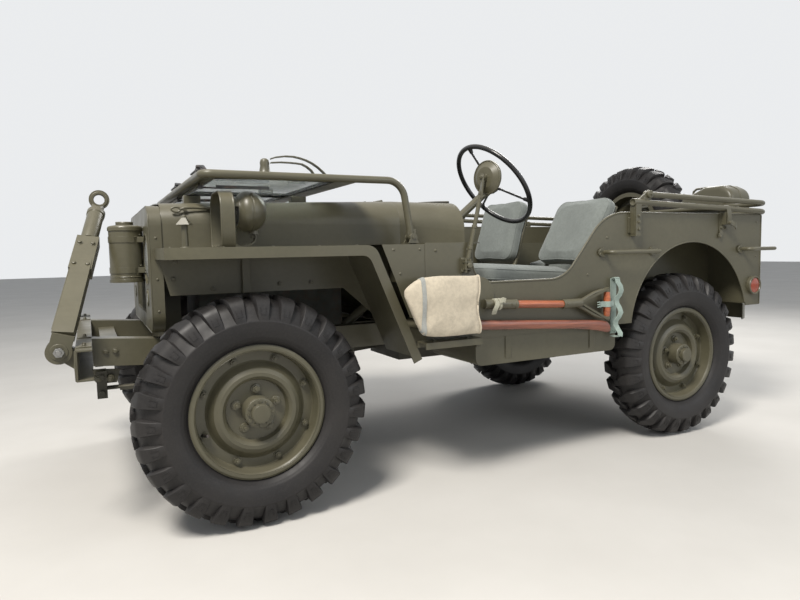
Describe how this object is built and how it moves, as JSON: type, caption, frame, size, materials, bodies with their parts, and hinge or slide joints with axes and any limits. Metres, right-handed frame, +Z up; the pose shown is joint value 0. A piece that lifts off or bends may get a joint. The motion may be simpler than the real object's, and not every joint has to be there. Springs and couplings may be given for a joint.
{
  "type": "army 4x4 car",
  "caption": "Small open army 4x4 car with its windscreen folded onto the hood, an A-shaped tow bar stood up in front, side tools and a rear spare wheel.",
  "frame": {"origin": "on the ground, under the middle of the whole vehicle", "axes": "+X forward, +Y to the left (driver's) side, +Z up"},
  "size_m": [3.397, 1.6089, 1.415],
  "materials": {
    "olive_paint": "satin olive drab paint",
    "chassis_paint": "dull olive drab paint",
    "tyre_rubber": "matt",
    "cast_iron": "rough",
    "rusty_steel": "rusty",
    "glass": "clear",
    "black_plastic": "worn gloss",
    "seat_canvas": "canvas",
    "pale_canvas": "canvas",
    "varnished_wood": "varnished"
  },
  "bodies": {
    "chassis": {"body_side_left": "olive_paint", "body_side_right": "olive_paint", "bow_brackets": "olive_paint", "bucket": "pale_canvas", "canister": "olive_paint", "controls": "olive_paint", "cowl": "olive_paint", "drive_lamp": "olive_paint", "driveline": "chassis_paint", "engine_block": "cast_iron", "exhaust": "rusty_steel", "fender_left": "olive_paint", "fender_right": "olive_paint", "frame": "olive_paint", "front_axle": "chassis_paint", "front_bumper": "olive_paint", "front_lamps": "olive_paint", "fuel_tank": "olive_paint", "grab_handles": "olive_paint", "grille": "olive_paint", "hood": "olive_paint", "jerrycan": "olive_paint", "mirror": "olive_paint", "radiator": "olive_paint", "rear_axle": "chassis_paint", "rear_bumpers": "olive_paint", "rear_carriers": "olive_paint", "rear_lamps": "olive_paint", "rear_panel": "olive_paint", "rim_spare": "olive_paint", "seat_backs": "seat_canvas", "seat_cushions": "seat_canvas", "seat_frames": "olive_paint", "springs": "chassis_paint", "steering_column": "olive_paint", "steps": "olive_paint", "tool_clamp": "pale_canvas", "tool_handles": "varnished_wood", "tool_heads": "olive_paint", "top_bows": "olive_paint", "tub_floor": "olive_paint", "tyre_spare": "tyre_rubber", "wheelhouses": "olive_paint"},
    "windscreen": {"windscreen_frame": "olive_paint", "windscreen_glass": "glass"},
    "tow_bar": {"tow_bar": "olive_paint"},
    "steering_wheel": {"steering_wheel": "black_plastic"},
    "knuckle_left": {"knuckle_left": "chassis_paint"},
    "knuckle_right": {"knuckle_right": "chassis_paint"},
    "tie_rod": {"tie_rod": "chassis_paint"},
    "wheel_front_left": {"tyre_front_left": "tyre_rubber", "rim_front_left": "olive_paint"},
    "wheel_front_right": {"tyre_front_right": "tyre_rubber", "rim_front_right": "olive_paint"},
    "wheel_rear_left": {"tyre_rear_left": "tyre_rubber", "rim_rear_left": "olive_paint"},
    "wheel_rear_right": {"tyre_rear_right": "tyre_rubber", "rim_rear_right": "olive_paint"}
  },
  "joints": [
    {"name": "steer_left", "type": "hinge", "parent": "chassis", "child": "knuckle_left", "pos_m": [1.092, 0.54, 0.388], "axis": [0, 0, 1], "range_deg": [-26, 26]},
    {"name": "steer_right", "type": "hinge", "parent": "chassis", "child": "knuckle_right", "pos_m": [1.092, -0.54, 0.388], "axis": [0, 0, 1], "range_deg": [-26, 26]},
    {"name": "tie_rod_swing", "type": "hinge", "parent": "knuckle_left", "child": "tie_rod", "pos_m": [1.257, 0.54, 0.349], "axis": [0, 0, 1], "range_deg": [-26, 26]},
    {"name": "steering_wheel_turn", "type": "hinge", "parent": "chassis", "child": "steering_wheel", "pos_m": [-0.13, 0.29, 1.203], "axis": [-0.7848, 0, 0.6198], "range_deg": [-364.5, 364.5]},
    {"name": "wheel_front_left_spin", "type": "hinge", "parent": "knuckle_left", "child": "wheel_front_left", "pos_m": [1.092, 0.6225, 0.388], "axis": [0, 1, 0], "continuous": true},
    {"name": "wheel_front_right_spin", "type": "hinge", "parent": "knuckle_right", "child": "wheel_front_right", "pos_m": [1.092, -0.6225, 0.388], "axis": [0, 1, 0], "continuous": true},
    {"name": "wheel_rear_left_spin", "type": "hinge", "parent": "chassis", "child": "wheel_rear_left", "pos_m": [-0.94, 0.6225, 0.388], "axis": [0, 1, 0], "continuous": true},
    {"name": "wheel_rear_right_spin", "type": "hinge", "parent": "chassis", "child": "wheel_rear_right", "pos_m": [-0.94, -0.6225, 0.388], "axis": [0, 1, 0], "continuous": true},
    {"name": "windscreen_fold", "type": "hinge", "parent": "chassis", "child": "windscreen", "pos_m": [0.495, 0, 0.955], "axis": [0, -1, 0], "range_deg": [0, 90]},
    {"name": "tow_bar_fold", "type": "hinge", "parent": "chassis", "child": "tow_bar", "pos_m": [1.66, 0, 0.623], "axis": [0, 1, 0], "range_deg": [0, 104]}
  ],
  "couplings": [
    {"joint": "steer_right", "follows": "steer_left", "ratio": 1},
    {"joint": "tie_rod_swing", "follows": "steer_left", "ratio": -1},
    {"joint": "steering_wheel_turn", "follows": "steer_left", "ratio": 14}
  ]
}
